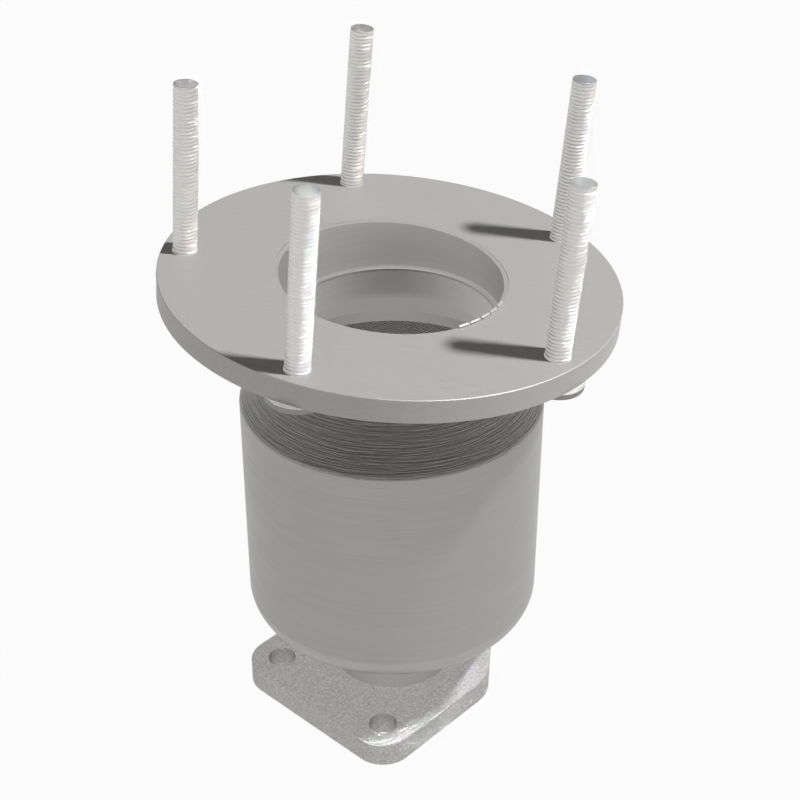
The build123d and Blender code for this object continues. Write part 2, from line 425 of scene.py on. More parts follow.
class Finishes:
    """All finishes of the converter, each made once."""

    def __init__(self) -> None:
        """Makes the finishes of the record's material slots, and four more of the scene's pieces."""
        finishes = {
            # Hot rolled plate, faced on a lathe and wiped: a pale even grey with faint grain.
            "plate_steel": Finish(
                "faced_steel_plate", "#ABAAA8", Grain.STRAIGHT, metallic=0.60, roughness=0.50,
                length_mm=7.0, width_mm=0.8, depth_mm=0.02,
            ),
            # Drawn tube, polished with a flap wheel: fine rings inside the bore.
            "tube_steel": Finish(
                "flap_polished_tube", "#A3A2A0", Grain.ROUND, metallic=0.50, roughness=0.46,
                length_mm=28.0, width_mm=0.7, depth_mm=0.035, radius_mm=37.0,
            ),
            # Spun sheet: the roller leaves coarse rings all over the knuckle and the cone. Its grey is set
            # darker than the lower end's: partly the sheet's own tone, partly painted shade under the
            # plate.
            "spun_steel": Finish(
                "spun_sheet_with_painted_shade", "#878684", Grain.ROUND, metallic=0.80, roughness=0.34,
                length_mm=18.0, width_mm=0.8, depth_mm=0.55,
            ),
            # The lower end is brushed after spinning: the same level lines as the shell, a little deeper.
            "spun_low_steel": Finish(
                "brushed_spun_sheet", "#9D9C9A", Grain.ROUND, metallic=0.86, roughness=0.40,
                length_mm=30.0, width_mm=0.8, depth_mm=0.07,
            ),
            # Insides of the spun ends, in the gas: dull, with fine rings from the roller.
            "bore_steel": Finish(
                "dull_spun_inside", "#A3A2A0", Grain.ROUND, metallic=0.35, roughness=0.50,
                length_mm=28.0, width_mm=0.8, depth_mm=0.05,
            ),
            # Rolled and brushed sheet: level lines that catch the light, drawn wide so that they show.
            "shell_steel": Finish(
                "brushed_steel_sheet", "#989795", Grain.ROUND, metallic=0.86, roughness=0.40,
                length_mm=30.0, width_mm=0.8, depth_mm=0.035,
            ),
            # Blasted plate: a grit with no direction, drawn 0.8 mm coarse so that it shows.
            "flange_steel": Finish(
                "blasted_steel_flange", "#A09F9D", Grain.EVEN, metallic=0.80, roughness=0.60,
                length_mm=0.8, width_mm=0.8, depth_mm=0.34, colour_swing=0.60,
            ),
            # Cordierite with a dark precious metal coat: dull, with a fine speckle.
            "ceramic": Finish(
                "coated_cordierite", "#8A8783", Grain.EVEN, metallic=0.0, roughness=0.85,
                length_mm=0.5, width_mm=0.5, depth_mm=0.04, colour_swing=0.25,
            ),
            # Needled ceramic fibre: off white, with soft fibres drawn thick so that they show.
            "fibre_mat": Finish(
                "needled_fibre_mat", "#DAD6CC", Grain.EVEN, metallic=0.0, roughness=0.95,
                length_mm=1.6, width_mm=0.4, depth_mm=0.25, colour_swing=0.10,
            ),
            # Knitted stainless wire: dark gaps between round bright wires.
            "wire_knit": Finish(
                "knitted_wire", "#8F8D8A", Grain.EVEN, metallic=0.8, roughness=0.40,
                length_mm=0.6, width_mm=0.6, depth_mm=0.20, colour_swing=0.35,
            ),
            # Pressed ring of thin sheet: smooth, with slight rings from the die.
            "ring_steel": Finish(
                "pressed_steel_ring", "#A09F9D", Grain.ROUND, metallic=0.60, roughness=0.42,
                length_mm=25.0, width_mm=0.9, depth_mm=0.03, radius_mm=45.0,
            ),
            # Bright zinc on rolled threads: the palest metal of the part.
            "bolt_steel": Finish(
                "bright_zinc_plate", "#DAD9D7", Grain.EVEN, metallic=0.66, roughness=0.46,
                length_mm=2.0, width_mm=2.0, depth_mm=0.01, colour_swing=0.02,
            ),
            # Painted shade on the bolts: a darker copy of the zinc for the flat tips and the heads' sides
            # and undersides.
            "bolt_painted_shade": Finish(
                "zinc_painted_shade", "#989796", Grain.EVEN, metallic=0.60, roughness=0.55,
                length_mm=1.5, width_mm=1.5, depth_mm=0.0, colour_swing=0.02,
            ),
            # Weld metal: brighter than the sheet, smooth between its ripples.
            "weld_steel": Finish(
                "weld_bead_steel", "#C4C3C1", Grain.EVEN, metallic=0.60, roughness=0.36,
                length_mm=1.0, width_mm=1.0, depth_mm=0.02, colour_swing=0.05,
            ),
        }
        self.made = {name: finish.material() for name, finish in finishes.items()}

    def dress(self, piece: bpy.types.Object, name: str) -> None:
        """Gives a piece one finish all over.

        Args:
            piece: the object to dress.
            name: the finish's name.
        """
        piece.data.materials.clear()
        piece.data.materials.append(self.made[name])

    def dress_faces(self, piece: bpy.types.Object, name: str, test: Test) -> None:
        """Gives some faces of a dressed piece a second finish.

        Args:
            piece: the object, dressed already.
            name: the second finish's name.
            test: a function of a face's place and normal.
        """
        piece.data.materials.append(self.made[name])
        Bench.edit(piece)
        Bench.pick(piece, "FACE", test)
        piece.active_material_index = len(piece.data.materials) - 1
        bpy.ops.object.material_slot_assign()
        Bench.done()


# Sub-assemblies


@dataclass
class CanisterBody:
    """The CAD pieces, and the record's material slot of each."""

    nodes: dict[str, str]

    def dress(self, finishes: Finishes, shown: dict[str, bpy.types.Object]) -> None:
        """Gives every CAD piece its finish.

        Args:
            finishes: all finishes.
            shown: the CAD pieces by name.
        """
        for node, slot in self.nodes.items():
            finishes.dress(shown[node], slot)
            LOG.info("%s takes %s", node, slot)


@dataclass
class SheetTurning:
    """Sheet piece round the canister's axis: an outline drawn by points and spun full circle."""

    steps: int = 192
    smooth_deg: float = 35.0

    def spin(self, name: str, outline: list[tuple[float, float]]) -> bpy.types.Object:
        """Models a closed turned piece.

        Args:
            name: the piece's name.
            outline: radius and height of each point, round the section once.

        Returns:
            The piece, its faces outwards.
        """
        Bench.clear()
        start = outline[0]
        bpy.ops.mesh.primitive_plane_add(size=MM, location=(start[0], 0.0, start[1]))
        piece = bpy.context.object
        piece.name = name
        piece.data.name = name
        Bench.place(piece, piece.matrix_world.copy())
        Bench.edit(piece)
        bpy.ops.mesh.select_all(action="SELECT")
        bpy.ops.mesh.merge(type="CENTER")
        for before, after in zip(outline, outline[1:] + outline[:1]):
            bpy.ops.mesh.extrude_vertices_move(TRANSFORM_OT_translate={
                "value": (after[0] - before[0], 0.0, after[1] - before[1])
            })
        bpy.ops.mesh.select_all(action="SELECT")
        bpy.ops.mesh.remove_doubles(threshold=MERGE)
        bpy.ops.mesh.spin(steps=self.steps, angle=math.tau, center=(0.0, 0.0, 0.0),
                          axis=(0.0, 0.0, 1.0))
        Bench.done()
        Bench.clean(piece)
        Bench.smooth(piece, self.smooth_deg)
        return piece


@dataclass
class RolledShell:
    """The canister's cylinder, its edges meeting the spun ends point on point."""

    radius: float = 51.25 * MM
    sheet: float = 2.0 * MM
    lower_z: float = 45.25 * MM
    upper_z: float = 120.25 * MM

    def build(self, finishes: Finishes) -> None:
        """Models the cylinder and dresses it.

        Args:
            finishes: all finishes.
        """
        inner = self.radius - self.sheet
        outline = [(self.radius, self.lower_z), (self.radius, self.upper_z), (inner, self.upper_z),
                   (inner, self.lower_z)]
        piece = SheetTurning().spin("rolled_shell", outline)
        finishes.dress(piece, "shell_steel")
        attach(piece, BODY)
        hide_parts("canister_shell")
        LOG.info("rolled_shell: %d faces", len(piece.data.polygons))


@dataclass
class SpunEnd:
    """One spun end of the canister: knuckle, cone, bend and collar, with roller rings."""

    name: str
    node: str
    shell: RolledShell
    edge_z: float
    upwards: float
    knuckle: float
    angle_deg: float
    collar_outer: float
    collar_end: float
    bend: float = 4.0 * MM
    lip_round: float = 0.9 * MM
    lip_points: int = 5
    ring_pitch: float = 1.1 * MM
    ring_depth: float = 0.030 * MM
    ring_mean: float = 0.65
    ring_swing: float = 0.35
    swing_turn: float = 0.9
    faded_rings: float = 3.0
    points_per_ring: int = 4
    finish: str = "spun_steel"

    def path(self, offset: float) -> list[tuple[float, float, float, float]]:
        """Follows one face of the sheet from the shell's edge to the collar's end.

        Args:
            offset: distance inwards from the outer face.

        Returns:
            Radius, height and outward normal of each point, evenly spaced.
        """
        angle = math.radians(self.angle_deg)
        centre = self.shell.radius - self.knuckle
        arc = self.knuckle - offset
        collar = self.collar_outer - offset
        turn = (centre + arc * math.cos(angle), arc * math.sin(angle))
        foot = turn[1] + (turn[0] - collar) / math.tan(angle)
        bend = self.bend + offset
        middle = (collar + bend, foot + bend * math.tan(0.5 * angle))
        cone = math.hypot(middle[0] - bend * math.cos(angle) - turn[0],
                          middle[1] - bend * math.sin(angle) - turn[1])
        step = self.ring_pitch / self.points_per_ring
        points = []
        count = math.ceil(arc * angle / step)
        for index in range(count):
            at = angle * index / count
            points.append((centre + arc * math.cos(at), arc * math.sin(at),
                           math.cos(at), math.sin(at)))
        count = math.ceil(cone / step)
        for index in range(count):
            way = cone * index / count
            points.append((turn[0] - way * math.sin(angle), turn[1] + way * math.cos(angle),
                           math.cos(angle), math.sin(angle)))
        count = math.ceil(bend * angle / step)
        for index in range(count + 1):
            at = angle * (1.0 - index / count)
            points.append((middle[0] - bend * math.cos(at), middle[1] - bend * math.sin(at),
                           math.cos(at), math.sin(at)))
        return points

    def outline(self) -> list[tuple[float, float]]:
        """Draws the section: the ringed outer face, the rounded lip, and the inner face back.

        Returns:
            Radius and height of each point, round the section once.
        """
        outer = []
        for index, (radius, height, out_r, out_z) in enumerate(self.path(0.0)):
            fade = min(1.0, index / (self.faded_rings * self.points_per_ring))
            ring = 0.5 + 0.5 * math.cos(math.tau * index / self.points_per_ring)
            swing = math.sin(self.swing_turn * index / self.points_per_ring)
            strength = self.ring_mean + self.ring_swing * swing
            sink = fade * strength * ring * self.ring_depth
            outer.append((radius - sink * out_r, height - sink * out_z))
        inner = [(radius, height) for radius, height, _, _ in self.path(self.shell.sheet)]
        lip = []
        for centre, start in ((self.collar_outer - self.lip_round, 0.0),
                              (self.collar_outer - self.shell.sheet + self.lip_round, 90.0)):
            for index in range(self.lip_points):
                at = math.radians(start + 90.0 / (self.lip_points - 1) * index)
                lip.append((centre + self.lip_round * math.cos(at),
                            self.collar_end - self.lip_round + self.lip_round * math.sin(at)))
        return [(r, self.edge_z + self.upwards * z) for r, z in outer + lip + inner[::-1]]

    def build(self, finishes: Finishes) -> None:
        """Models the end and dresses it.

        Args:
            finishes: all finishes.
        """
        piece = SheetTurning().spin(self.name, self.outline())
        finishes.dress(piece, self.finish)
        finishes.dress_faces(piece, "bore_steel", lambda middle, facing: (
            facing.x * middle.x + facing.y * middle.y < 0.0
        ))
        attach(piece, BODY)
        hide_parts(self.node)
        LOG.info("%s: %d faces", self.name, len(piece.data.polygons))


@dataclass
class DrawnTube:
    """Inlet tube: a socket below, and a mouth cut a little askew to the leaning plate."""

    plane: PlatePlane
    outer: float = 38.0 * MM
    bore: float = 36.4 * MM
    socket: float = 36.8 * MM
    lower_z: float = 139.3 * MM
    socket_z: float = 149.9 * MM
    spare_z: float = 180.0 * MM
    low_azimuth_deg: float = -65.0
    depth_low: float = 1.3 * MM
    depth_high: float = -0.06 * MM

    def build(self, finishes: Finishes) -> None:
        """Models the tube longer than needed, cuts its mouth a little askew and closes it.

        Args:
            finishes: all finishes.
        """
        outline = [
            (self.outer, self.lower_z), (self.outer, self.spare_z),
            (self.bore, self.spare_z), (self.bore, self.socket_z),
            (self.socket, self.socket_z), (self.socket, self.lower_z),
        ]
        turning = SheetTurning()
        piece = turning.spin("drawn_inlet_tube", outline)
        level = self.plane.normal()
        level /= level.z
        slope = 0.5 * (self.depth_low - self.depth_high) / self.outer
        azimuth = math.radians(self.low_azimuth_deg)
        downhill = Vector((math.cos(azimuth), math.sin(azimuth), 0.0))
        normal = (level + downhill * slope).normalized()
        mouth = Vector((0.0, 0.0, self.plane.top_z - 0.5 * (self.depth_low + self.depth_high)))
        Bench.edit(piece)
        bpy.ops.mesh.select_all(action="SELECT")
        bpy.ops.mesh.bisect(plane_co=mouth, plane_no=normal, use_fill=False, clear_outer=True)
        Bench.pick(piece, "EDGE", lambda a, b: max(
            abs((a - mouth).dot(normal)), abs((b - mouth).dot(normal))
        ) < NEAR)
        bpy.ops.mesh.bridge_edge_loops()
        Bench.done()
        Bench.clean(piece)
        Bench.smooth(piece, turning.smooth_deg)
        finishes.dress(piece, "tube_steel")
        finishes.dress_faces(piece, "plate_steel", lambda middle, facing: facing.z > FACING)
        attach(piece, BODY)
        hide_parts("inlet_tube")
        LOG.info("drawn_inlet_tube: %d faces", len(piece.data.polygons))


@dataclass
class CollarSeam:
    """Fine seam that closes the step between the collar's lip and the tube."""

    section: tuple[tuple[float, float], ...] = (
        (36.38, 149.60), (36.38, 150.00), (34.90, 150.00), (34.48, 149.70), (34.48, 149.50),
    )
    smooth_deg: float = 20.0

    def build(self, finishes: Finishes) -> None:
        """Models the seam and dresses it.

        Args:
            finishes: all finishes.
        """
        outline = [(radius * MM, height * MM) for radius, height in self.section]
        piece = SheetTurning().spin("collar_seam", outline)
        Bench.smooth(piece, self.smooth_deg)
        finishes.dress(piece, "bore_steel")
        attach(piece, BODY)
        LOG.info("collar_seam: %d faces", len(piece.data.polygons))


@dataclass
class BrickRing:
    """Pressed ring on the brick's upper face: a flat foot and a wall that leans inwards."""

    section: tuple[tuple[float, float], ...] = (
        (44.00, 123.60), (45.60, 123.60), (45.60, 124.45), (44.78, 124.45),
        (43.72, 127.20), (42.55, 128.78), (42.38, 128.86), (42.30, 128.72),
    )

    def build(self, finishes: Finishes) -> None:
        """Models the ring and dresses it.

        Args:
            finishes: all finishes.
        """
        outline = [(radius * MM, height * MM) for radius, height in self.section]
        piece = SheetTurning().spin("leaning_upper_ring", outline)
        finishes.dress(piece, "ring_steel")
        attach(piece, BODY)
        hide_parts("upper_retaining_ring")
        LOG.info("leaning_upper_ring: %d faces", len(piece.data.polygons))


@dataclass
class PlateBolts:
    """Five fully threaded M8 bolts with thin round heads, pressed into the plate."""

    plane: PlatePlane
    count: int = 5
    circle_radius: float = 67.35 * MM
    first_azimuth_deg: float = 1.4
    radius: float = 4.0 * MM
    root_radius: float = 3.15 * MM
    pitch: float = 1.25 * MM
    crest_share: float = 0.32
    root_share: float = 0.10
    stand_out: float = 57.2 * MM
    plate_thickness: float = 8.0 * MM
    pressed_radius: float = 4.2 * MM
    head_radius: float = 9.4 * MM
    head_thickness: float = 2.0 * MM
    head_round: float = 0.5 * MM
    tip_thickness: float = 0.5 * MM
    tip_round: float = 0.08 * MM
    thread_in_tip: float = 0.06 * MM
    thread_steps: int = 28
    tip_steps: int = 56
    head_steps: int = 96
    smooth_deg: float = 30.0

    def thread(self) -> bpy.types.Object:
        """Models the thread: one tooth's outline, drawn out point by point and screwed up.

        Returns:
            The closed thread, cut level at both ends.
        """
        crest = self.crest_share * self.pitch
        root = self.root_share * self.pitch
        flank = (self.pitch - crest - root) / 2
        depth = self.radius - self.root_radius
        low = -2 * self.pitch
        cuts = ((-self.pitch / 2, False), (self.stand_out - self.tip_thickness + self.thread_in_tip, True))
        Bench.clear()
        bpy.ops.mesh.primitive_plane_add(size=self.pitch, location=(self.radius, 0.0, low))
        tooth = bpy.context.object
        Bench.edit(tooth)
        bpy.ops.mesh.select_all(action="SELECT")
        bpy.ops.mesh.merge(type="CENTER")
        for step in ((0.0, crest), (-depth, flank), (0.0, root), (depth, flank)):
            bpy.ops.mesh.extrude_vertices_move(
                TRANSFORM_OT_translate={"value": (step[0], 0.0, step[1])}
            )
        Bench.done()
        Bench.place(tooth, tooth.matrix_world.copy())
        turns = math.ceil((self.stand_out - low) / self.pitch) + 1
        Bench.modify(tooth, "SCREW", axis="Z", angle=math.tau, screw_offset=self.pitch,
                     iterations=turns, steps=self.thread_steps, render_steps=self.thread_steps,
                     use_merge_vertices=True, merge_threshold=LEVEL)
        Bench.clean(tooth)
        Bench.edit(tooth)
        for height, upwards in cuts:
            bpy.ops.mesh.select_all(action="SELECT")
            bpy.ops.mesh.bisect(plane_co=(0.0, 0.0, height), plane_no=(0.0, 0.0, 1.0),
                                use_fill=True, clear_inner=not upwards, clear_outer=upwards)
        Bench.done()
        Bench.clean(tooth)
        return tooth

    def tip(self) -> bpy.types.Object:
        """Models the flat end that closes the thread.

        Returns:
            A thin disc with its edges bevelled.
        """
        Bench.clear()
        middle_z = self.stand_out - 0.5 * self.tip_thickness
        bpy.ops.mesh.primitive_cylinder_add(vertices=self.tip_steps, radius=self.radius,
                                            depth=self.tip_thickness, location=(0.0, 0.0, middle_z))
        disc = bpy.context.object
        Bench.place(disc, disc.matrix_world.copy())
        Bench.edit(disc)
        Bench.pick(disc, "EDGE", lambda a, b: abs(a.z - b.z) < LEVEL)
        bpy.ops.mesh.bevel(offset=self.tip_round, segments=1, affect="EDGES")
        Bench.done()
        return disc

    def head(self) -> bpy.types.Object:
        """Models the thin round head and the plain end that is pressed into the plate.

        Returns:
            The head with that end.
        """
        middle_z = -self.plate_thickness - 0.5 * self.head_thickness
        bottom = -self.plate_thickness - self.head_thickness
        Bench.clear()
        bpy.ops.mesh.primitive_cylinder_add(vertices=self.head_steps, radius=self.head_radius,
                                            depth=self.head_thickness, location=(0.0, 0.0, middle_z))
        head = bpy.context.object
        Bench.place(head, head.matrix_world.copy())
        Bench.edit(head)
        Bench.pick(head, "EDGE", lambda a, b: max(a.z, b.z) < bottom + NEAR)
        bpy.ops.mesh.bevel(offset=self.head_round, segments=4, affect="EDGES")
        Bench.pick(head, "FACE", lambda middle, normal: normal.z > FACING)
        bpy.ops.mesh.inset(thickness=self.head_radius - self.pressed_radius)
        bpy.ops.mesh.extrude_region_move(
            TRANSFORM_OT_translate={"value": (0.0, 0.0, self.plate_thickness)}
        )
        Bench.done()
        return head

    def bolt(self, finishes: Finishes) -> bpy.types.Object:
        """Joins thread, head and tip to one bolt and dresses it.

        Args:
            finishes: all finishes.

        Returns:
            The bolt, upright, with the plate's upper face at height 0.
        """
        bolt = self.thread()
        ends = [self.head(), self.tip()]
        Bench.take(bolt)
        for end in ends:
            end.select_set(True)
        bpy.ops.object.join()
        Bench.smooth(bolt, self.smooth_deg)
        tip_z = self.stand_out - NEAR
        head_z = -self.plate_thickness - NEAR
        finishes.dress(bolt, "bolt_steel")
        # Painted shade: the tips and the heads below the plate take the darker copy of the zinc.
        finishes.dress_faces(bolt, "bolt_painted_shade", lambda middle, normal: (
            middle.z > tip_z or middle.z < head_z
        ))
        Bench.edit(bolt)
        Bench.pick(bolt, "FACE", lambda middle, normal: middle.z > tip_z)
        bpy.ops.mesh.faces_shade_flat()
        Bench.done()
        return bolt

    def build(self, finishes: Finishes) -> None:
        """Models one bolt and copies it to its five places.

        Args:
            finishes: all finishes.
        """
        bolt = self.bolt(finishes)
        out = Matrix.Translation((self.circle_radius, 0.0, 0.0))
        for index in range(self.count):
            azimuth = math.radians(self.first_azimuth_deg + index * 360 / self.count)
            name = f"threaded_bolt_{index + 1}"
            piece = Bench.copy(bolt, name)
            Bench.place(piece, self.plane.matrix() @ Matrix.Rotation(azimuth, 4, "Z") @ out)
            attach(piece, BODY)
            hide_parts(f"plate_bolt_{index + 1}")
            LOG.info("%s: %d faces", name, len(piece.data.polygons))
        bpy.data.objects.remove(bolt)


@dataclass
class HoneycombBrick:
    """Ceramic brick with real square cells in both end faces."""

    radius: float = 46.5 * MM
    lower_z: float = 49.6 * MM
    length: float = 74.0 * MM
    cell: float = 1.27 * MM
    wall: float = 0.24 * MM
    cell_depth: float = 5.0 * MM
    block_spare: float = 0.2 * MM
    recess_spare: float = 0.1 * MM
    skin: float = 0.55 * MM
    rim_cells: float = 0.75
    edge_break: float = 0.4 * MM
    steps: int = 160
    smooth_deg: float = 30.0

    def lattice(self, face_z: float, inwards: float) -> bpy.types.Object:
        """Models the cells of one end: a grid, its corners off, each square sunk as a well.

        Args:
            face_z: height of the end face.
            inwards: -1 for the upper end, 1 for the lower one.

        Returns:
            The closed block of cells.
        """
        reach = self.radius - self.skin
        count = math.ceil(2 * reach / self.cell)
        kept = reach - self.rim_cells * self.cell
        Bench.clear()
        bpy.ops.mesh.primitive_grid_add(x_subdivisions=count, y_subdivisions=count,
                                        size=count * self.cell, location=(0.0, 0.0, face_z))
        block = bpy.context.object
        Bench.place(block, block.matrix_world.copy())
        Bench.edit(block)
        Bench.pick(block, "FACE", lambda middle, normal: math.hypot(middle.x, middle.y) > kept)
        bpy.ops.mesh.delete(type="FACE")
        bpy.ops.mesh.select_all(action="SELECT")
        bpy.ops.mesh.inset(thickness=0.5 * self.wall, use_individual=True, use_even_offset=True)
        bpy.ops.mesh.extrude_region_move(
            TRANSFORM_OT_translate={"value": (0.0, 0.0, inwards * self.cell_depth)}
        )
        bpy.ops.mesh.select_mode(type="EDGE")
        bpy.ops.mesh.select_all(action="DESELECT")
        bpy.ops.mesh.select_non_manifold(extend=False, use_wire=False, use_boundary=True,
                                         use_multi_face=False, use_non_contiguous=False,
                                         use_verts=False)
        bpy.ops.mesh.extrude_region_move(
            TRANSFORM_OT_translate={"value": (0.0, 0.0, inwards * (self.cell_depth + self.block_spare))}
        )
        bpy.ops.mesh.edge_face_add()
        Bench.done()
        Bench.clean(block)
        return block

    def cup(self) -> bpy.types.Object:
        """Models the body with a shallow recess for the cells in each end.

        Returns:
            The body.
        """
        Bench.clear()
        middle_z = self.lower_z + 0.5 * self.length
        bpy.ops.mesh.primitive_cylinder_add(vertices=self.steps, radius=self.radius,
                                            depth=self.length, location=(0.0, 0.0, middle_z))
        body = bpy.context.object
        Bench.place(body, body.matrix_world.copy())
        Bench.edit(body)
        for sign in (1.0, -1.0):
            Bench.pick(body, "FACE", lambda middle, normal: normal.z * sign > FACING)
            bpy.ops.mesh.inset(thickness=self.skin)
            bpy.ops.mesh.extrude_region_move(
                TRANSFORM_OT_translate={"value": (0.0, 0.0, -sign * (self.cell_depth + self.recess_spare))}
            )
        rim = self.radius - NEAR
        half = 0.5 * self.length - NEAR
        Bench.pick(body, "EDGE", lambda a, b: (
            min(math.hypot(a.x, a.y), math.hypot(b.x, b.y)) > rim
            and min(abs(a.z - middle_z), abs(b.z - middle_z)) > half
            and abs(a.z - b.z) < NEAR
        ))
        bpy.ops.mesh.bevel(offset=self.edge_break, segments=2, affect="EDGES")
        Bench.done()
        Bench.smooth(body, self.smooth_deg)
        return body

    def build(self, finishes: Finishes) -> None:
        """Models the body and both blocks of cells and joins them to one piece.

        Args:
            finishes: all finishes.
        """
        body = self.cup()
        upper = self.lattice(self.lower_z + self.length, -1.0)
        lower = self.lattice(self.lower_z, 1.0)
        Bench.take(body)
        upper.select_set(True)
        lower.select_set(True)
        bpy.ops.object.join()
        body.name = "honeycomb_brick"
        body.data.name = body.name
        finishes.dress(body, "ceramic")
        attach(body, BODY)
        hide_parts("catalyst_brick")
        LOG.info("%s: %d faces", body.name, len(body.data.polygons))


@dataclass
class WeldBead:
    """A weld round the canister's axis, with the ripples of a torch moved by hand."""

    name: str
    radius: float
    width: float
    height: float
    ripples: int
    place: Matrix
    swell: float = 0.16
    pinch: float = 1.0
    arcs_deg: tuple[tuple[float, float], ...] = ((0.0, 360.0),)
    section_points: int = 10
    ripple_steps: int = 5
    ripple_power: float = 0.6
    pick_share: float = 0.2
    smooth_deg: float = 60.0

    def ripple(self) -> bpy.types.Object:
        """Models one ripple: a round outline, spun over its angle and swelled in the middle.

        Returns:
            The ripple, open at both ends, the first of them at azimuth 0.
        """
        Bench.clear()
        bpy.ops.mesh.primitive_circle_add(vertices=self.section_points, radius=0.5, fill_type="NOTHING",
                                          location=(self.radius, 0.0, 0.0),
                                          rotation=(math.radians(90.0), 0.0, 0.0))
        bead = bpy.context.object
        bead.scale = (self.width, self.height, 1.0)
        Bench.place(bead, bead.matrix_basis.copy())
        span = math.tau / self.ripples
        Bench.edit(bead)
        bpy.ops.mesh.select_all(action="SELECT")
        bpy.ops.mesh.spin(steps=self.ripple_steps, angle=span, center=(0.0, 0.0, 0.0),
                          axis=(0.0, 0.0, 1.0))
        for step in range(self.ripple_steps + 1):
            angle = span * step / self.ripple_steps
            swell = self.pinch
            if 0 < step < self.ripple_steps:
                rise = math.sin(math.pi * step / self.ripple_steps) ** self.ripple_power
                swell = 1.0 + self.swell * rise
            middle = Vector((self.radius * math.cos(angle), self.radius * math.sin(angle), 0.0))
            Bench.pick(bead, "VERT", lambda spot, normal: abs(
                (math.atan2(spot.y, spot.x) - angle + math.pi) % math.tau - math.pi
            ) < self.pick_share * span / self.ripple_steps)
            bpy.ops.transform.resize(value=(swell, swell, swell), center_override=middle)
        Bench.done()
        return bead

    def repeat(self, bead: bpy.types.Object) -> None:
        """Copies the ripple along the arcs, joins the copies to it and closes open ends.

        Args:
            bead: the first ripple, which keeps the result.
        """
        span = math.tau / self.ripples
        parts = [bead]
        for index in range(1, self.ripples):
            turn_deg = math.degrees(span) * index
            if any(start <= turn_deg <= end for start, end in self.arcs_deg):
                part = bead.copy()
                part.data = bead.data.copy()
                bpy.context.scene.collection.objects.link(part)
                part.matrix_world = Matrix.Rotation(span * index, 4, "Z")
                parts.append(part)
        Bench.clear()
        for part in parts:
            part.select_set(True)
        bpy.context.view_layer.objects.active = bead
        bpy.ops.object.join()
        Bench.clean(bead)
        Bench.edit(bead)
        bpy.ops.mesh.select_all(action="SELECT")
        bpy.ops.mesh.fill_holes(sides=0)
        Bench.done()

    def build(self, finishes: Finishes) -> None:
        """Models the bead, puts it on its seam and dresses it.

        Args:
            finishes: all finishes.
        """
        bead = self.ripple()
        self.repeat(bead)
        Bench.place(bead, self.place)
        bead.name = self.name
        bead.data.name = self.name
        Bench.smooth(bead, self.smooth_deg)
        finishes.dress(bead, "weld_steel")
        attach(bead, BODY)
        LOG.info("%s: %d faces", self.name, len(bead.data.polygons))


# Studio


@dataclass(frozen=True)
class Fill:
    """A wide lamp without shadow that lights single pieces, where the part shades itself."""

    name: str
    turn_deg: float
    elevation_deg: float
    strength: float
    pieces: tuple[str, ...]


TUBE = ("drawn_inlet_tube",)
SEAM = ("collar_seam",)
RING = ("leaning_upper_ring",)
CONE = ("spun_inlet_end",)
BRICK = ("honeycomb_brick",)
BOLTS = tuple(f"threaded_bolt_{number}" for number in range(1, 6))

# Turns are counted from the viewer's side, anticlockwise as seen from above.
FILLS = (
    Fill("bore_fill_middle", 0.0, 3.0, 2.3, TUBE),
    Fill("bore_fill_left", -70.0, 3.0, 2.0, TUBE),
    Fill("bore_fill_right", 70.0, 3.0, 2.0, TUBE),
    Fill("mouth_fill", 85.0, 80.0, 6.0, TUBE),
    Fill("ring_fill_left", -35.0, 3.0, 3.8, RING),
    Fill("ring_fill_right", 35.0, 3.0, 3.8, RING),
    Fill("brick_fill", 0.0, 60.0, 1.7, BRICK),
    Fill("cone_fill_left", -78.4, -20.0, 4.8, CONE),
    Fill("cone_fill_right", 78.4, -20.0, 4.8, CONE),
    Fill("seam_fill", 0.0, 60.0, 4.4, SEAM),
    Fill("neck_fill", 0.0, 0.0, 3.2, ("outlet_tube",)),
    Fill("flank_fill", 0.0, -10.0, 3.2, ("rolled_shell", "spun_outlet_end")),
    Fill("low_fill", 0.0, -40.0, 0.7, ("spun_outlet_end",)),
    Fill("flange_fill", 0.0, 60.0, 14.5, ("outlet_flange",)),
    Fill("bolt_fill", 0.0, 84.0, 4.6, BOLTS),
)


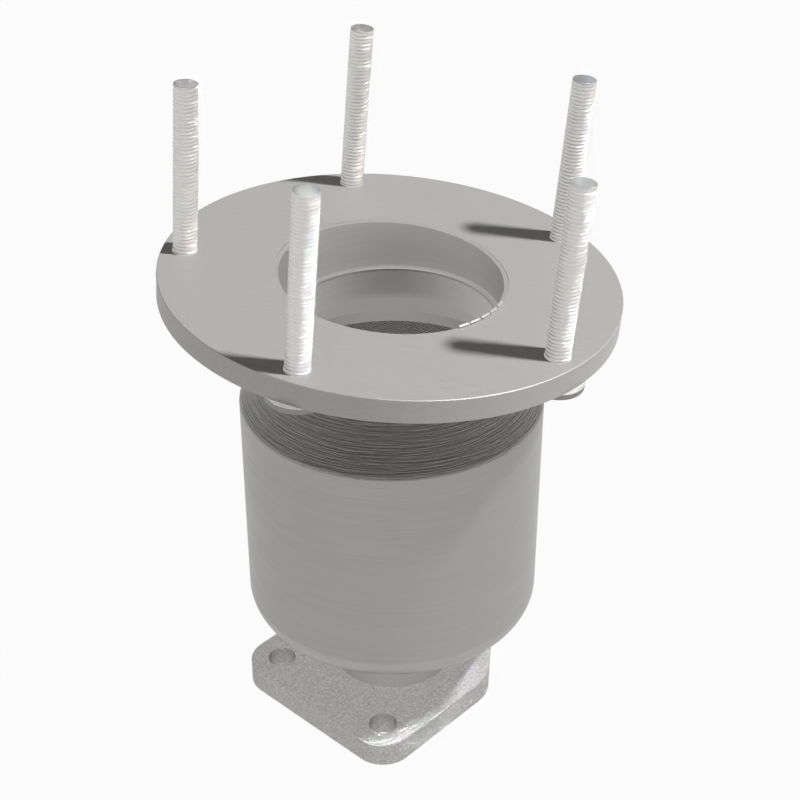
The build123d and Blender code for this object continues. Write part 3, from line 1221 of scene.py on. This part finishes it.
@dataclass
class Studio:
    """Pale floor, soft key light, fills, dim room and the camera of the photograph."""

    camera_place: tuple[float, float, float] = (0.32055, -0.34034, 0.41406)
    camera_azimuth_deg: float = 42.944
    camera_elevation_deg: float = 32.36
    lens_mm: float = 73.70
    sensor_mm: float = 36.0
    clip_start: float = 0.01
    clip_end: float = 20.0
    viewer_azimuth_deg: float = -47.0
    key_azimuth_deg: float = 38.0
    key_elevation_deg: float = 58.0
    key_strength: float = 6.2
    key_angle_deg: float = 5.0
    fill_angle_deg: float = 40.0
    wall_strength: float = 0.68
    ceiling_strength: float = 0.09
    ceiling_height: float = 0.65
    floor_size: float = 12.0
    floor_glow: float = 0.44
    floor_tone: str = "#E8E8E8"
    backdrop: str = "#FEFEFE"
    backdrop_share: float = 0.97

    def camera(self) -> None:
        """Sets up the camera."""
        data = bpy.data.cameras.new("camera")
        data.lens = self.lens_mm
        data.sensor_width = self.sensor_mm
        data.clip_start = self.clip_start
        data.clip_end = self.clip_end
        made = bpy.data.objects.new("camera", data)
        bpy.context.scene.collection.objects.link(made)
        made.location = self.camera_place
        made.rotation_euler = (math.radians(90.0 - self.camera_elevation_deg), 0.0,
                               math.radians(self.camera_azimuth_deg))
        bpy.context.scene.camera = made

    def sun(self, name: str, azimuth_deg: float, elevation_deg: float, strength: float,
            angle_deg: float, shadow: bool) -> bpy.types.Object:
        """Sets up one distant lamp.

        Args:
            name: the lamp's name.
            azimuth_deg: direction towards the lamp, from the part's X.
            elevation_deg: its height over the horizon, negative from below.
            strength: its strength.
            angle_deg: how wide it is, which sets how soft it is.
            shadow: whether it casts shadows.

        Returns:
            The lamp.
        """
        data = bpy.data.lights.new(name, "SUN")
        data.energy = strength
        data.angle = math.radians(angle_deg)
        data.use_shadow = shadow
        made = bpy.data.objects.new(name, data)
        bpy.context.scene.collection.objects.link(made)
        azimuth = math.radians(azimuth_deg)
        elevation = math.radians(elevation_deg)
        towards = Vector((math.cos(azimuth) * math.cos(elevation),
                          math.sin(azimuth) * math.cos(elevation), math.sin(elevation)))
        made.rotation_euler = towards.to_track_quat("Z", "Y").to_euler()
        return made

    def link(self, lamp: bpy.types.Object, pieces: list[bpy.types.Object]) -> None:
        """Lets a lamp light some pieces only.

        Args:
            lamp: the lamp.
            pieces: what it lights.
        """
        lit = bpy.data.collections.new(f"{lamp.name}_on")
        for piece in pieces:
            lit.objects.link(piece)
        lamp.light_linking.receiver_collection = lit

    def lamps(self) -> None:
        """Sets up the soft key light high on the right, which leaves out the bore, and the fills."""
        key = self.sun("key_light", self.key_azimuth_deg, self.key_elevation_deg, self.key_strength,
                       self.key_angle_deg, True)
        shaded = TUBE + SEAM + RING + CONE + BRICK
        self.link(key, [piece for piece in bpy.context.scene.objects
                        if piece.type == "MESH" and piece.name not in shaded])
        for fill in FILLS:
            lamp = self.sun(fill.name, self.viewer_azimuth_deg + fill.turn_deg, fill.elevation_deg,
                            fill.strength, self.fill_angle_deg, False)
            self.link(lamp, [bpy.data.objects[name] for name in fill.pieces])
            lamp.visible_glossy = False

    def room(self) -> None:
        """Sets up the room: pale walls that fade to a dim ceiling."""
        world = bpy.data.worlds.new("room")
        bpy.context.scene.world = world
        world.use_nodes = True
        tree = world.node_tree
        tree.nodes.clear()
        way = add_node(tree, "ShaderNodeTexCoord", {}, {}).outputs["Generated"]
        part = add_node(tree, "ShaderNodeSeparateXYZ", {}, {0: way})
        level = add_node(tree, "ShaderNodeMapRange", {}, {
            "Value": part.outputs[2],
            "From Min": 0.0,
            "From Max": self.ceiling_height,
            "To Min": self.wall_strength,
            "To Max": self.ceiling_strength,
        })
        felt = add_node(tree, "ShaderNodeBackground", {}, {0: WHITE, 1: level.outputs[0]})
        add_node(tree, "ShaderNodeOutputWorld", {}, {0: felt.outputs[0]})

    def floor(self) -> None:
        """Sets up the pale floor: white to the eye and in the metal, with a faint shadow."""
        Bench.clear()
        bpy.ops.mesh.primitive_plane_add(size=self.floor_size, location=(0.0, 0.0, 0.0))
        floor = bpy.context.object
        floor.name = "studio_floor"
        made = bpy.data.materials.new("pale_floor")
        made.use_nodes = True
        tree = made.node_tree
        tree.nodes.clear()
        path = add_node(tree, "ShaderNodeLightPath", {}, {})
        matt = add_node(tree, "ShaderNodeBsdfDiffuse", {}, {0: linear(self.floor_tone)})
        white = add_node(tree, "ShaderNodeEmission", {}, {0: linear(self.backdrop), 1: 1.0})
        glow = add_node(tree, "ShaderNodeEmission", {}, {0: WHITE, 1: self.floor_glow})
        seen = add_node(tree, "ShaderNodeMixShader", {},
                        {0: self.backdrop_share, 1: matt.outputs[0], 2: white.outputs[0]})
        mirrored = add_node(tree, "ShaderNodeMixShader", {},
                            {0: path.outputs["Is Glossy Ray"], 1: glow.outputs[0], 2: white.outputs[0]})
        both = add_node(tree, "ShaderNodeMixShader", {},
                        {0: path.outputs["Is Camera Ray"], 1: mirrored.outputs[0], 2: seen.outputs[0]})
        add_node(tree, "ShaderNodeOutputMaterial", {}, {0: both.outputs[0]})
        floor.data.materials.append(made)

    def build(self) -> None:
        """Sets up camera, light, room and floor."""
        self.camera()
        self.lamps()
        self.room()
        self.floor()
        bpy.context.scene.view_settings.view_transform = "Standard"
        LOG.info("studio ready")


def main() -> None:
    logging.basicConfig(level=logging.INFO, format="%(name)s: %(message)s")
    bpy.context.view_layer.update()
    plane = PlatePlane()
    finishes = Finishes()
    slots = {row["node"]: row["material_slot"] for row in frame["record"]["subparts"]}
    CanisterBody(slots).dress(finishes, frame["nodes"])
    shell = RolledShell()
    shell.build(finishes)
    ends = [
        # The upper end takes the darker sheet, which is partly painted shade under the plate.
        SpunEnd("spun_inlet_end", "inlet_cone", shell, edge_z=shell.upper_z, upwards=1.0,
                knuckle=2.5 * MM, angle_deg=38.5, collar_outer=36.5 * MM, collar_end=29.35 * MM),
        SpunEnd("spun_outlet_end", "outlet_cone", shell, edge_z=shell.lower_z, upwards=-1.0,
                knuckle=10.0 * MM, angle_deg=57.0, collar_outer=24.4 * MM, collar_end=28.25 * MM,
                finish="spun_low_steel"),
    ]
    for end in ends:
        end.build(finishes)
    DrawnTube(plane).build(finishes)
    CollarSeam().build(finishes)
    BrickRing().build(finishes)
    PlateBolts(plane).build(finishes)
    HoneycombBrick().build(finishes)
    beads = [
        WeldBead("rim_weld", radius=38.0 * MM, width=1.0 * MM, height=0.7 * MM, ripples=52,
                 place=plane.upright(below=0.46 * MM), swell=0.8, pinch=0.15,
                 arcs_deg=((0.0, 25.0), (127.0, 161.0), (348.0, 360.0))),
        WeldBead("under_plate_weld", radius=38.4 * MM, width=3.6 * MM, height=3.4 * MM, ripples=44,
                 place=plane.upright(below=8.3 * MM)),
        WeldBead("socket_weld", radius=38.0 * MM, width=3.4 * MM, height=3.2 * MM, ripples=44,
                 place=Matrix.Translation((0.0, 0.0, 139.2 * MM))),
    ]
    for bead in beads:
        bead.build(finishes)
    Studio().build()


if __name__ == "__main__":
    main()
